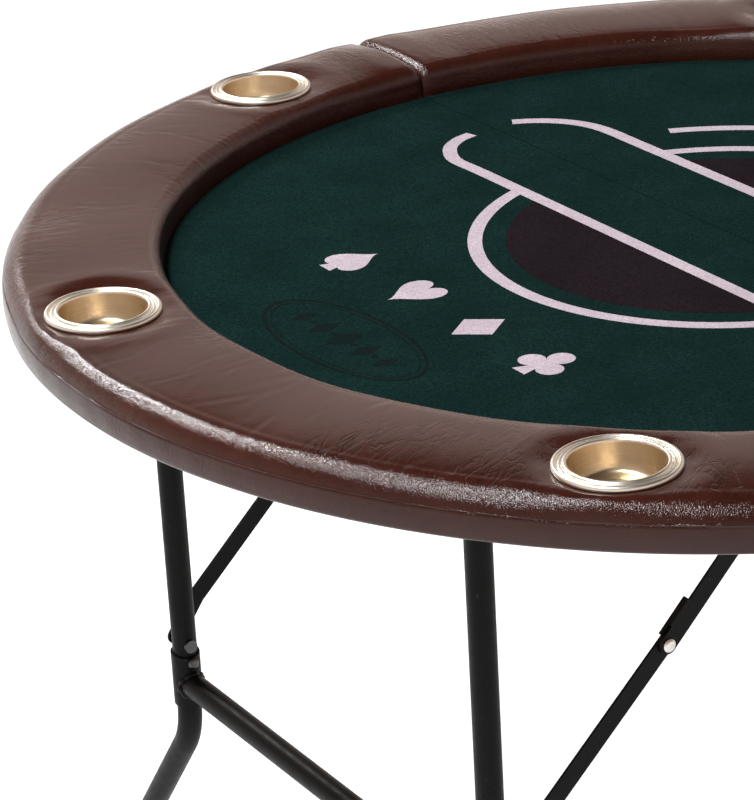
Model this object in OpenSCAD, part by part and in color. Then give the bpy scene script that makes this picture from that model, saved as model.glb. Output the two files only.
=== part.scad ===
// Folding round card table with a padded armrest, drop-in cup holders,
// a two-piece top and two folding tubular leg frames.
// Frame: origin on the floor under the middle of the table, +Z up,
// +X across the seam (the left half is -X), +Y along the seam.

/* [Table top] */
// Overall diameter of the top
table_d = 1220; // [1160:10:1260]
// Height of the armrest above the floor
table_h = 762; // [740:1:790]
// Thickness of the playing board
board_t = 8; // [6:0.5:10]
// Thickness of the felt
felt_t = 1; // [0.8:0.1:1.5]
// Gap between the two halves at the seam
seam_gap = 1.2; // [0.8:0.1:2]

/* [Armrest] */
// Width of the padded armrest
rail_w = 134; // [128:1:138]
// Overall thickness of the armrest and board
rail_t = 38; // [36:0.5:42]
// Inward reach of the rounded outer shoulder
shoulder_w = 26; // [18:1:30]
// Height of the flat outer side below the shoulder
side_h = 15; // [12:0.5:17]
// Radius of the rounded inner shoulder
inner_shoulder = 14; // [10:0.5:14]
// Thickness of the padding outside the wooden core
pad_side_t = 6; // [5:0.5:8]
// Height of the wooden core on the board
core_t = 10; // [8:0.5:12]

/* [Cup holders] */
// Distance of the cup centres from the middle of the table
cup_pitch_r = 545; // [542:1:547]
// Radius of the flange
cup_flange_r = 47.2; // [45:0.1:49]
// Radius of the drop-in hole
cup_hole_r = 38.6; // [38.2:0.1:40]
// Depth of the cup below the armrest
cup_depth = 22; // [20:0.5:27]
// Sheet thickness of the floor of the cup
cup_floor_t = 1.3; // [1:0.1:1.6]
// Angle of the first cup from +X
cup_a1 = 106; // [103:0.5:109]
// Angle of the second cup from +X
cup_a2 = 168.5; // [164:0.5:171]
// Angle of the third cup from +X
cup_a3 = 225; // [222:0.5:228]

/* [Leg frames] */
// Distance of each leg hinge from the seam
leg_x = 417; // [412:1:420]
// Half distance between the two legs of a frame
leg_y = 248; // [247:0.5:249]
// Outside radius of the frame tubes
tube_r = 11; // [10.8:0.1:11.1]
// Wall of the frame tubes
tube_wall = 1.2; // [1:0.1:1.5]
// Leg hinge axis below the underside of the board
hinge_drop = 36; // [35:0.5:38]
// Leg joint (top of the lower leg) below the underside
joint_drop = 405; // [400:1:408]
// Crossbar below the underside
crossbar_drop = 389; // [386:0.5:390]
// Through-screw below the underside
screw_drop = 366; // [364.5:0.5:367]
// Bend radius of the lower legs
bend_r = 70; // [60:1:80]
// Outward lean of the lower legs
splay = 38; // [32:1:38]
// Outside radius of the sleeve at the leg joint
sleeve_r = 13; // [12.6:0.1:13.2]
// Outside radius of the plastic foot caps
foot_r = 13.4; // [13:0.1:14.5]

/* [Braces] */
// Lower brace pivot below the underside
brace_low = 350; // [349:0.5:351]
// Distance of the upper brace pivot from the seam
brace_up_x = 105; // [104.5:0.1:105.5]
// Width of the brace bars
bar_w = 16; // [14:0.5:16]
// Thickness of the brace bars
bar_t = 2.5; // [2:0.1:2.6]
// Length of the stop tab beyond the knee
tab_len = 38; // [30:1:38]
// Radius of the silver knee rivet
rivet_r = 5.5; // [5:0.1:6]

/* [Hidden] */
$fn = 72;
zb = table_h - rail_t;            // underside of the board
R = table_d/2;
Ri = R - rail_w;                  // inside edge of the armrest
Rb = R - pad_side_t;              // edge of the board and the core
Rc = Ri + 8;                      // inside of the wooden core
zh = zb - hinge_drop;             // leg hinge axis
eps = 0.02;
cup_angles = [cup_a1, cup_a2, cup_a3];
batten_y0 = 214; batten_y1 = 256; batten_t = 18; batten_x1 = 466; batten_x0 = 6;
saddle_y0 = 217; saddle_y1 = 235;
// brace planes, measured from the middle of the table
low_y0 = leg_y + tube_r + 3;      // inner face of the lower bars
low_y1 = low_y0 + bar_t;
up_y0 = low_y1 + 0.5;             // inner face of the upper bars
up_y1 = up_y0 + bar_t;
pin_end = up_y0 - 0.1;            // end of the lower brace pins
pin_r = 3.5;
// brace geometry in the X-Z plane of the left frame (z measured from zb)
A = [-leg_x, -brace_low];
U = [-brace_up_x, -hinge_drop];
span = norm(U - A);
// the bars lie flat side by side when the leg is folded by 90 degrees
bar_diff = (leg_x - brace_up_x) - (brace_low - hinge_drop);
up_len = (span + bar_diff)/2;
low_len = (span - bar_diff)/2;
K = U + (A - U)*up_len/span;      // knee
V = [-394, -318];                 // bend of the lower bar
batten_screw_x = [30, 170, 310, 458];
hinge_y = 140;
hinge_screws = [[-38, -22], [-38, 22], [-20, -22], [-20, 22]];
bracket_screw_dx = [-16, 16];
bracket_screw_y = up_y1 + 0.5 + 18;

vinyl = [0.33, 0.21, 0.19];
felt_c = [0.08, 0.17, 0.17];
champagne = [0.78, 0.70, 0.55];
black = [0.11, 0.11, 0.11];
silver = [0.75, 0.74, 0.72];
mdf = [0.55, 0.42, 0.29];

// ---------- helpers ----------
// keep the left (s = -1) or right (s = 1) half, half a seam gap back
module half(s) {
    intersection() {
        children();
        translate([s < 0 ? -R - 10 : seam_gap/2, -R - 10, zb - 100])
            cube([R + 10 - seam_gap/2, 2*R + 20, 400]);
    }
}
// the right half is the left half turned half a turn
module side(s) { if (s < 0) children(); else rotate([0, 0, 180]) children(); }
// front (-Y) copy of something made at +Y
module rear_or_front(q) { if (q > 0) children(); else mirror([0, 1, 0]) children(); }
module both_y() { children(); mirror([0, 1, 0]) children(); }
module y_cyl(r, y0, y1) { translate([0, y0, 0]) rotate([-90, 0, 0]) cylinder(r = r, h = y1 - y0); }
module cup_positions() {
    for (a = cup_angles) rotate([0, 0, a]) translate([cup_pitch_r, 0, 0]) children();
}
// flat bar between two points of the X-Z plane, round at both ends
module bar_xz(p, q, w, y0, y1) {
    d = q - p;
    for (c = [p, q]) translate([c[0], 0, c[1]]) y_cyl(w/2, y0, y1);
    translate([p[0], y0, p[1]]) rotate([0, -atan2(d[1], d[0]), 0]) translate([0, 0, -w/2]) cube([norm(d), y1 - y0, w]);
}
// pan head screw driven upwards, head underside at the origin
module screw_up(len) {
    translate([0, 0, -1.2]) cylinder(r = 4, h = 1.2);
    translate([0, 0, -2.2]) cylinder(r1 = 2.8, r2 = 4, h = 1, $fn = 48);
    translate([0, 0, -0.01]) cylinder(r = 1.75, h = len + 0.01);
}
module pilot(len) { translate([0, 0, -1]) cylinder(r = 1.8, h = len + 1.4); }

// ---------- top ----------
module board_holes() {
    for (s = [-1, 1]) side(s) {
        both_y() {
            for (x = batten_screw_x) translate([-x, (batten_y0 + batten_y1)/2, zb]) pilot(5);
            for (dx = bracket_screw_dx) translate([U[0] + dx, bracket_screw_y, zb]) pilot(5);
            for (p = hinge_screws) translate([p[0], hinge_y + p[1], zb]) pilot(5);
        }
    }
}
module board(s) {
    color(mdf) half(s) difference() {
        translate([0, 0, zb]) cylinder(r = Rb, h = board_t);
        board_holes();
    }
}
module felt(s) {
    color(felt_c) half(s) translate([0, 0, zb + board_t]) cylinder(r = Ri - 0.4, h = felt_t);
}
module rail_core(s) {
    color(mdf) half(s) difference() {
        translate([0, 0, zb + board_t]) cylinder(r = Rb, h = core_t);
        translate([0, 0, zb]) cylinder(r = Rc, h = 60);
        for (k = [-1, 1]) side(k) cup_positions() translate([0, 0, zb]) cylinder(r = cup_hole_r, h = 60);
    }
}
function pad_profile() = concat(
    [[Rb, 0], [R - 2, 0], [R, 2.5], [R, side_h]],
    [for (i = [1:7]) let (t = 90*i/8) [R - shoulder_w + shoulder_w*cos(t), side_h + (rail_t - side_h)*sin(t)]],
    [[R - shoulder_w, rail_t], [Ri + inner_shoulder, rail_t]],
    [for (i = [1:5]) let (t = 90*i/6) [Ri + inner_shoulder - inner_shoulder*sin(t), rail_t - inner_shoulder + inner_shoulder*cos(t)]],
    [[Ri, rail_t - inner_shoulder], [Ri, board_t], [Rc, board_t], [Rc, board_t + core_t], [Rb, board_t + core_t]]);
module rail_pad(s) {
    color(vinyl) half(s) difference() {
        translate([0, 0, zb]) rotate_extrude($fn = 180) polygon(pad_profile());
        for (k = [-1, 1]) side(k) cup_positions() translate([0, 0, zb - 1]) cylinder(r = cup_hole_r, h = 60);
    }
}

// ---------- cup holders ----------
module cup_holder(i) {
    s = i < 3 ? -1 : 1;
    d = cup_depth; f = cup_floor_t; r = cup_flange_r;
    color(champagne) side(s) rotate([0, 0, cup_angles[i % 3]]) translate([cup_pitch_r, 0, zb + rail_t])
        rotate_extrude() polygon([[0, -d], [29.6, -d], [30.6, -d + 1.2], [37.4, 0.3],
            [r - 0.6, 0.3], [r, 0.9], [r, 1.9], [r - 1, 3], [r - 2.2, 3], [r - 3.4, 2.2],
            [39.6, 2.2], [38.2, 3.2], [37, 3.4], [36, 2.8], [35.6, 0.5],
            [29.2, -d + f + 0.8], [28, -d + f], [21, -d + f], [20, -d + f + 0.8], [17, -d + f + 0.8],
            [16, -d + f], [7, -d + f], [6, -d + 0.7], [0, -d + 0.7]]);
}

// ---------- underside ----------
module battens(s) {
    color(mdf) side(s) both_y() difference() {
        translate([-batten_x1, batten_y0, zb - batten_t]) cube([batten_x1 - batten_x0, batten_y1 - batten_y0, batten_t]);
        for (x = batten_screw_x) translate([-x, (batten_y0 + batten_y1)/2, zb - batten_t]) pilot(batten_t + 2);
        for (dx = [-24, 24]) translate([-leg_x + dx, (saddle_y0 + saddle_y1)/2, zb - batten_t]) pilot(12);
    }
}
module batten_screws() {
    color(silver) for (s = [-1, 1]) side(s) both_y() for (x = batten_screw_x)
        translate([-x, (batten_y0 + batten_y1)/2, zb - batten_t]) screw_up(batten_t + 5);
}
module seam_hinge_leaves(s) {
    // knuckles 1, 3, 5 on the left leaf and 2, 4 on the right
    segs = s < 0 ? [[-35, -21.2], [-6.8, 6.8], [21.2, 35]] : [[-20.8, -7.2], [7.2, 20.8]];
    color(silver) for (y = [-hinge_y, hinge_y]) translate([0, y, zb]) difference() {
        union() {
            mirror([s < 0 ? 0 : 1, 0, 0]) translate([-50, -35, -2.2]) cube([43, 70, 2.2]);
            for (g = segs) {
                translate([0, 0, -5.2]) y_cyl(4.8, g[0], g[1]);
                mirror([s < 0 ? 0 : 1, 0, 0]) translate([-8, g[0], -2.2]) cube([7, g[1] - g[0], 1.9]);
            }
        }
        translate([0, 0, -5.2]) y_cyl(2.05, -36, 36);
        for (p = hinge_screws) translate([s*-1*p[0], p[1], -2.2]) pilot(4);
    }
}
module seam_hinge_pins() {
    color(silver) for (y = [-hinge_y, hinge_y]) translate([0, y, zb - 5.2]) {
        y_cyl(2, -36.5, 36.5);
        y_cyl(3.4, -38, -36.5);
    }
}
module seam_hinge_screws() {
    color(silver) for (s = [-1, 1]) side(s) for (y = [-hinge_y, hinge_y]) for (p = hinge_screws)
        translate([p[0], y + p[1], zb - 2.2]) screw_up(6.8);
}
module leg_saddles(s) {
    color(black) side(s) both_y() translate([-leg_x, 0, zh]) difference() {
        union() {
            y_cyl(14, saddle_y0, saddle_y1);
            translate([-14, saddle_y0, 0]) cube([28, saddle_y1 - saddle_y0, hinge_drop - batten_t]);
            translate([-34, saddle_y0, hinge_drop - batten_t - 2.5]) cube([68, saddle_y1 - saddle_y0, 2.5]);
        }
        y_cyl(tube_r + 0.06, saddle_y0 - 1, saddle_y1 + 1);
        for (dx = [-24, 24]) translate([dx, (saddle_y0 + saddle_y1)/2, hinge_drop - batten_t - 2.5]) pilot(4);
    }
}
module saddle_screws() {
    color(silver) for (s = [-1, 1]) side(s) both_y() for (dx = [-24, 24])
        translate([-leg_x + dx, (saddle_y0 + saddle_y1)/2, zb - batten_t - 2.5]) screw_up(13);
}
module brace_brackets(s) {
    y0 = up_y1 + 0.5;
    color(black) side(s) both_y() translate([U[0], 0, zb]) difference() {
        union() {
            translate([0, 0, U[1]]) y_cyl(11, y0, y0 + 2.5);
            translate([-11, y0, U[1]]) cube([22, 2.5, -U[1]]);
            translate([-26, y0, -2.5]) cube([52, 30, 2.5]);
            translate([0, 0, U[1]]) y_cyl(pin_r, up_y0 + 0.1, y0 + 0.1);
        }
        for (dx = bracket_screw_dx) translate([dx, bracket_screw_y, -2.5]) pilot(4);
    }
}
module bracket_screws() {
    color(silver) for (s = [-1, 1]) side(s) both_y() for (dx = bracket_screw_dx)
        translate([U[0] + dx, bracket_screw_y, zb - 2.5]) screw_up(7);
}

// ---------- leg frames ----------
module hinge_tube(s) {
    color(black) side(s) translate([-leg_x, 0, zh]) difference() {
        y_cyl(tube_r, -leg_y - tube_r, leg_y + tube_r);
        y_cyl(tube_r - tube_wall, -leg_y - tube_r - 1, leg_y + tube_r + 1);
    }
}
module upper_legs(s) {
    color(black) side(s) both_y() difference() {
        translate([-leg_x, leg_y, zb - joint_drop + 1]) cylinder(r = tube_r, h = joint_drop - 1 - hinge_drop - tube_r - eps);
        translate([-leg_x, leg_y, zb - joint_drop]) cylinder(r = tube_r - tube_wall, h = joint_drop);
        translate([-leg_x, 0, zb - screw_drop]) y_cyl(2.6, leg_y - 30, leg_y + 30);
        translate([-leg_x, 0, zb - brace_low]) y_cyl(pin_r + eps, leg_y - 30, leg_y + 30);
    }
}
// sleeve over the leg joint, cut on a slant at the top
module leg_sleeves(s) {
    color(black) side(s) both_y() difference() {
        translate([-leg_x, leg_y, zb - joint_drop - 4]) cylinder(r = sleeve_r, h = joint_drop - brace_low);
        translate([-leg_x, leg_y, zb - joint_drop - 5]) cylinder(r = tube_r + eps, h = 80);
        translate([-leg_x, leg_y, zb - brace_low - 9]) rotate([8, 0, 0]) translate([-30, -30, 0]) cube([60, 60, 30]);
        translate([-leg_x, 0, zb - screw_drop]) y_cyl(2.6, leg_y - 30, leg_y + 30);
    }
}
bend_z = joint_drop + 10;                             // the bend starts here, below the underside
bend_y = leg_y + bend_r*(1 - cos(splay));
bend_z1 = bend_z + bend_r*sin(splay);
tube_end_z = 13;                                      // where the tube's centre line ends above the floor
lean_len = (zb - bend_z1 - tube_end_z)/cos(splay);
module pipe(h) {
    difference() {
        cylinder(r = tube_r, h = h, $fn = 48);
        translate([0, 0, -1]) cylinder(r = tube_r - tube_wall, h = h + 2, $fn = 48);
    }
}
module lower_legs(s) {
    color(black) side(s) both_y() translate([-leg_x, leg_y + bend_r, zb - bend_z])
        rotate([0, 90, 0]) rotate([0, 0, -90]) union() {
            rotate_extrude(angle = splay) translate([bend_r, 0]) difference() {
                circle(r = tube_r, $fn = 48);
                circle(r = tube_r - tube_wall, $fn = 48);
            }
            translate([bend_r, 0, 0]) rotate([90, 0, 0]) pipe(bend_z - joint_drop);
            rotate([0, 0, splay]) translate([bend_r, 0, 0]) rotate([-90, 0, 0]) pipe(lean_len);
        }
}
module crossbar(s) {
    color(black) side(s) translate([-leg_x, 0, zb - crossbar_drop]) difference() {
        y_cyl(tube_r, -leg_y, leg_y);
        y_cyl(tube_r - tube_wall, -leg_y - 1, leg_y + 1);
        for (k = [-1, 1]) translate([0, k*leg_y, -40]) cylinder(r = sleeve_r + eps, h = 80);
    }
}
module foot_caps(s) {
    color([0.05, 0.05, 0.05]) side(s) both_y() translate([-leg_x, bend_y, zb - bend_z1]) difference() {
        intersection() {
            rotate([180 + splay, 0, 0]) translate([0, 0, lean_len - 24]) cylinder(r = foot_r, h = 60);
            translate([-40, 0, -(zb - bend_z1)]) cube([80, 400, 100]);
        }
        rotate([180 + splay, 0, 0]) translate([0, 0, lean_len - 30]) cylinder(r = tube_r + eps, h = 30 + eps);
    }
}
module leg_screws(s) {
    color(silver) side(s) both_y() translate([-leg_x, 0, zb - screw_drop]) {
        y_cyl(2.5, leg_y - sleeve_r - 0.5, leg_y + sleeve_r + 0.5);
        y_cyl(5, leg_y - sleeve_r - 2, leg_y - sleeve_r - 0.2);
        translate([0, leg_y - sleeve_r - 2, 0]) rotate([90, 0, 0]) cylinder(r1 = 5, r2 = 3.4, h = 1.2, $fn = 48);
        y_cyl(4.4, leg_y + sleeve_r + 0.1, leg_y + sleeve_r + 3, $fn = 6);
    }
}
module brace_pins(s) {
    color(silver) side(s) both_y() translate([-leg_x, 0, zb - brace_low]) {
        y_cyl(pin_r, leg_y - tube_r - 0.5, pin_end);
        y_cyl(6, leg_y - tube_r - 2.4, leg_y - tube_r - 0.1);
        y_cyl(6.5, leg_y + tube_r + 0.05, low_y0 - 0.2);
    }
}

// ---------- braces ----------
module upper_brace(s, q) {
    color(black) side(s) rear_or_front(q*-s) translate([0, 0, zb]) difference() {
        bar_xz(U, K, bar_w, up_y0, up_y1);
        translate([U[0], 0, U[1]]) y_cyl(pin_r + 0.06, up_y0 - 1, up_y1 + 1);
        translate([K[0], 0, K[1]]) y_cyl(3.02, up_y0 - 1, up_y1 + 1);
    }
}
function unit(v) = v/norm(v);
function normal(p, q) = let (d = unit(q - p)) [-d[1], d[0]];
// corner of the outline at b, at distance w to the left of the path a-b-c
function corner(a, b, c, w) = let (m = unit(normal(a, b) + normal(b, c))) b + m*w/(m*normal(a, b));
module lower_brace(s, q) {
    d = unit(U - K); n = normal(K, U); w = bar_w/2; T = K + d*tab_len; a = atan2(d[1], d[0]);
    color(black) side(s) rear_or_front(q*-s) translate([0, 0, zb]) difference() {
        union() {
            translate([A[0], 0, A[1]]) y_cyl(w, low_y0, low_y1);
            // bar with its bend, and the stop tab beside the upper bar
            translate([0, low_y1, 0]) rotate([90, 0, 0]) linear_extrude(height = bar_t) polygon([
                A + w*normal(A, V), corner(A, V, K, w), corner(V, K, U, w),
                K + d*3 + n*w, K + d*3 + n*(w + 2.8), T + n*(w + 2.8), T - n*w,
                corner(V, K, U, -w), corner(A, V, K, -w), A - w*normal(A, V)]);
            translate([K[0], low_y0, K[1]]) rotate([0, -a, 0])
                translate([13, 0.4, w + 0.6]) cube([tab_len - 13, bar_t + 3.6, 2.2]);
        }
        translate([A[0], 0, A[1]]) y_cyl(pin_r + 0.06, low_y0 - 1, low_y1 + 1);
    }
}
module knee_rivet(s, q) {
    color(silver) side(s) rear_or_front(q*-s) translate([K[0], 0, zb + K[1]]) {
        y_cyl(3, up_y0 + 0.1, up_y1 + 0.2);
        y_cyl(rivet_r, up_y1 + 0.02, up_y1 + 1.6);
        translate([0, up_y1 + 1.6, 0]) rotate([-90, 0, 0]) cylinder(r1 = rivet_r, r2 = rivet_r - 1.6, h = 1.2, $fn = 48);
    }
}

board(-1);  // board_left
board(1);  // board_right
felt(-1);  // felt_left
felt(1);  // felt_right
rail_core(-1);  // rail_core_left
rail_core(1);  // rail_core_right
rail_pad(-1);  // rail_pad_left
rail_pad(1);  // rail_pad_right
cup_holder(0);  // cup_holder_1
cup_holder(1);  // cup_holder_2
cup_holder(2);  // cup_holder_3
cup_holder(3);  // cup_holder_4
cup_holder(4);  // cup_holder_5
cup_holder(5);  // cup_holder_6
battens(-1);  // battens_left
battens(1);  // battens_right
batten_screws();
seam_hinge_leaves(-1);  // seam_hinge_leaves_left
seam_hinge_leaves(1);  // seam_hinge_leaves_right
seam_hinge_pins();
seam_hinge_screws();
leg_saddles(-1);  // leg_saddles_left
leg_saddles(1);  // leg_saddles_right
saddle_screws();
brace_brackets(-1);  // brace_brackets_left
brace_brackets(1);  // brace_brackets_right
bracket_screws();
hinge_tube(-1);  // hinge_tube_left
hinge_tube(1);  // hinge_tube_right
upper_legs(-1);  // upper_legs_left
upper_legs(1);  // upper_legs_right
leg_sleeves(-1);  // leg_sleeves_left
leg_sleeves(1);  // leg_sleeves_right
lower_legs(-1);  // lower_legs_left
lower_legs(1);  // lower_legs_right
crossbar(-1);  // crossbar_left
crossbar(1);  // crossbar_right
foot_caps(-1);  // foot_caps_left
foot_caps(1);  // foot_caps_right
leg_screws(-1);  // leg_screws_left
leg_screws(1);  // leg_screws_right
brace_pins(-1);  // brace_pins_left
brace_pins(1);  // brace_pins_right
upper_brace(-1, -1);  // upper_brace_left_front
upper_brace(-1, 1);  // upper_brace_left_rear
upper_brace(1, -1);  // upper_brace_right_front
upper_brace(1, 1);  // upper_brace_right_rear
lower_brace(-1, -1);  // lower_brace_left_front
lower_brace(-1, 1);  // lower_brace_left_rear
lower_brace(1, -1);  // lower_brace_right_front
lower_brace(1, 1);  // lower_brace_right_rear
knee_rivet(-1, -1);  // knee_rivet_left_front
knee_rivet(-1, 1);  // knee_rivet_left_rear
knee_rivet(1, -1);  // knee_rivet_right_front
knee_rivet(1, 1);  // knee_rivet_right_rear
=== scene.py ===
import math

import bmesh
import bpy
import numpy as np
from mathutils import Matrix, Vector
from mathutils.geometry import tessellate_polygon


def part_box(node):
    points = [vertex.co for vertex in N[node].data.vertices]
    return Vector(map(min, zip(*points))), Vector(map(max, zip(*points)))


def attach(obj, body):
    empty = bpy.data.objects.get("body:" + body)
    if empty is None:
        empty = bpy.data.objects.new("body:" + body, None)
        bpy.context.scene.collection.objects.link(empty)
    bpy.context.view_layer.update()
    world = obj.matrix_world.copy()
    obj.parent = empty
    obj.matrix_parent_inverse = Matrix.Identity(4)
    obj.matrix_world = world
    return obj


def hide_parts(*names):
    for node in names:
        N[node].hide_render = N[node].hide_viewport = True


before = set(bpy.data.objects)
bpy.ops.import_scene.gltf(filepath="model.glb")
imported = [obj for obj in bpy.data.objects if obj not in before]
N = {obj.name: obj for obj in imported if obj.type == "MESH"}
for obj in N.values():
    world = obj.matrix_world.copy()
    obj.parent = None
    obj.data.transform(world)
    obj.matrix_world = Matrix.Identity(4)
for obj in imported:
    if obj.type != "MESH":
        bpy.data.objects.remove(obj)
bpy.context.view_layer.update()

MM = 0.001

# ------------------------------------------------------------------ sizes
felt_lo, felt_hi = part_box("felt_left")
pad_lo, pad_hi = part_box("rail_pad_left")
ZF = felt_hi.z                       # top of the felt
ZB = pad_lo.z                        # underside of the board
ZT = pad_hi.z                        # top of the armrest
R = pad_hi.y                         # outside radius of the top
GAP = -pad_hi.x                      # half the gap at the seam
RI = felt_hi.y + 0.0004              # inside radius of the armrest
RB = R - 0.006                       # edge of the board
RC = RI + 0.008                      # inside of the wooden core
SHOULDER = 0.026
SIDE_H = 0.015
INNER = 0.014
THICK = ZT - ZB


def centre(node):
    a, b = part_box(node)
    return (a + b) / 2


CUPS = {i: centre("cup_holder_%d" % i) for i in range(1, 7)}


# ------------------------------------------------------------------ materials
class Mat:
    """A small helper round a node tree."""

    def __init__(self, name):
        self.m = bpy.data.materials.new(name)
        self.m.use_nodes = True
        self.t = self.m.node_tree
        self.b = self.t.nodes["Principled BSDF"]
        self.co = self.t.nodes.new("ShaderNodeTexCoord")

    def n(self, kind, **inputs):
        node = self.t.nodes.new("ShaderNode" + kind)
        for k, v in inputs.items():
            if k.startswith("p_"):
                setattr(node, k[2:], v)
            else:
                sock = node.inputs[int(k[1:])] if k[0] == "i" and k[1:].isdigit() else node.inputs[k.replace("_", " ")]
                if hasattr(v, "is_output"):
                    self.t.links.new(v, sock)
                else:
                    sock.default_value = v
        return node

    def math(self, op, a, b=0.0, clamp=False):
        return self.n("Math", p_operation=op, p_use_clamp=clamp, i0=a, i1=b).outputs[0]

    def noise(self, scale, detail=2.0, rough=0.5, vec=None, distortion=0.0):
        node = self.n("TexNoise", Scale=scale, Detail=detail, Roughness=rough, Distortion=distortion)
        self.t.links.new(vec if vec is not None else self.co.outputs["Object"], node.inputs["Vector"])
        return node.outputs["Fac"]

    def voronoi(self, scale, feature="F1", vec=None, randomness=1.0):
        node = self.n("TexVoronoi", p_feature=feature, Scale=scale, Randomness=randomness)
        self.t.links.new(vec if vec is not None else self.co.outputs["Object"], node.inputs["Vector"])
        return node.outputs["Distance"]

    def ramp(self, fac, stops):
        node = self.n("ValToRGB", Fac=fac)
        e = node.color_ramp.elements
        while len(e) < len(stops):
            e.new(0.5)
        for el, (p, c) in zip(e, stops):
            el.position = p
            el.color = (*c, 1) if len(c) == 3 else c
        return node.outputs["Color"]

    def remap(self, fac, a, b, c, d):
        node = self.n("MapRange", Value=fac, From_Min=a, From_Max=b, To_Min=c, To_Max=d)
        return node.outputs["Result"]

    def mix(self, fac, a, b, kind="MIX"):
        node = self.t.nodes.new("ShaderNodeMix")
        node.data_type = "RGBA"
        node.blend_type = kind
        for idx, v in ((0, fac), (6, a), (7, b)):
            if hasattr(v, "is_output"):
                self.t.links.new(v, node.inputs[idx])
            else:
                node.inputs[idx].default_value = (*v, 1) if hasattr(v, "__len__") and len(v) == 3 else v
        return node.outputs[2]

    def bump(self, height, strength, distance, normal=None):
        node = self.n("Bump", Strength=strength, Distance=distance, Height=height)
        if normal is not None:
            self.t.links.new(normal, node.inputs["Normal"])
        return node.outputs["Normal"]

    def set(self, **kw):
        for k, v in kw.items():
            k = k.replace("_", " ")
            if hasattr(v, "is_output"):
                self.t.links.new(v, self.b.inputs[k])
            else:
                self.b.inputs[k].default_value = (*v, 1) if hasattr(v, "__len__") and len(v) == 3 else v
        return self

    def polar(self, k_angle, k_r, k_z):
        """Coordinates that follow the round armrest: along it, across it, up."""
        sep = self.n("SeparateXYZ", Vector=self.co.outputs["Object"])
        x, y, z = sep.outputs
        ax = self.math("ABSOLUTE", x)
        ang = self.math("ARCTAN2", y, ax)
        r2 = self.math("ADD", self.math("MULTIPLY", x, x), self.math("MULTIPLY", y, y))
        r = self.math("SQRT", r2)
        side = self.math("MULTIPLY", self.math("SIGN", x), 7.3)
        comb = self.n("CombineXYZ",
                      X=self.math("ADD", self.math("MULTIPLY", ang, k_angle), side),
                      Y=self.math("MULTIPLY", r, k_r), Z=self.math("MULTIPLY", z, k_z))
        return comb.outputs[0]


def vinyl_material():
    m = Mat("rail_vinyl_brown")
    big = m.noise(9.0, 3.0, 0.6)
    mid = m.noise(55.0, 4.0, 0.65)
    base = m.mix(m.remap(big, 0.3, 0.7, 0.0, 1.0), (0.0285, 0.0068, 0.0041), (0.042, 0.0106, 0.0066))
    base = m.mix(m.remap(mid, 0.35, 0.75, 0.0, 0.35), base, (0.015, 0.0044, 0.0030))
    # long fine creases that run across the armrest, made as bumps, with painted shade darkening the base colour along
    # them
    pol = m.polar(48.0, 26.0, 40.0)
    cr = m.noise(1.0, 3.0, 0.55, pol, 0.6)
    line = m.math("ABSOLUTE", m.math("SUBTRACT", cr, 0.5))
    crease_bump_and_shade = m.remap(line, 0.0, 0.045, 1.0, 0.0)
    where = m.remap(m.noise(7.0, 2.0, 0.5), 0.46, 0.62, 0.0, 1.0)
    up = m.n("SeparateXYZ", Vector=m.n("NewGeometry").outputs["Normal"]).outputs[2]
    turn = m.remap(up, 0.99, 0.90, 0.25, 1.0)
    flat = m.remap(up, 0.90, 0.985, 0.25, 1.0)
    crease_bump_and_shade = m.math("MULTIPLY", m.math("MULTIPLY", crease_bump_and_shade, where), flat)
    crease_bump_and_shade = m.math("MULTIPLY", crease_bump_and_shade, 0.8)
    pol2 = m.polar(95.0, 48.0, 70.0)
    cr2 = m.noise(1.0, 2.0, 0.5, pol2, 0.9)
    soft = m.remap(m.math("ABSOLUTE", m.math("SUBTRACT", cr2, 0.5)), 0.0, 0.09, 1.0, 0.0)
    # painted shade: the base colour is darkened along the crease lines, as if shade lay in them
    base = m.mix(m.math("MULTIPLY", crease_bump_and_shade, 0.6), base, (0.008, 0.002, 0.0015))
    # leather grain
    cell = m.voronoi(620.0, "DISTANCE_TO_EDGE", m.n("VectorMath", p_operation="ADD", i0=m.co.outputs["Object"],
                     i1=m.n("VectorMath", p_operation="SCALE", i0=m.n("TexNoise", Scale=240.0, Detail=2.0, Vector=m.co.outputs["Object"]).outputs["Color"], Scale=0.0016).outputs[0]).outputs[0])
    grain = m.remap(cell, 0.0, 0.35, 0.0, 1.0)
    tiny = m.noise(1500.0, 2.0, 0.6)
    h = m.math("ADD", m.math("MULTIPLY", grain, 0.7), m.math("MULTIPLY", tiny, 0.5))
    pebble = m.noise(330.0, 3.0, 0.6)
    n1 = m.bump(m.math("MULTIPLY", h, turn), 0.52, 0.00030)
    n2 = m.bump(m.math("MULTIPLY", pebble, turn), 0.42, 0.00048, n1)
    n3 = m.bump(m.math("MULTIPLY", crease_bump_and_shade, -1.0), 0.45, 0.00045, n2)
    n4 = m.bump(m.math("MULTIPLY", soft, -1.0), 0.05, 0.0003, n3)
    rough = m.remap(m.noise(38.0, 4.0, 0.6), 0.3, 0.75, 0.13, 0.19)
    m.set(Base_Color=base, Roughness=rough, Normal=n4)
    m.b.inputs["IOR"].default_value = 1.52
    m.b.inputs["Specular IOR Level"].default_value = 0.33
    return m.m


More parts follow.
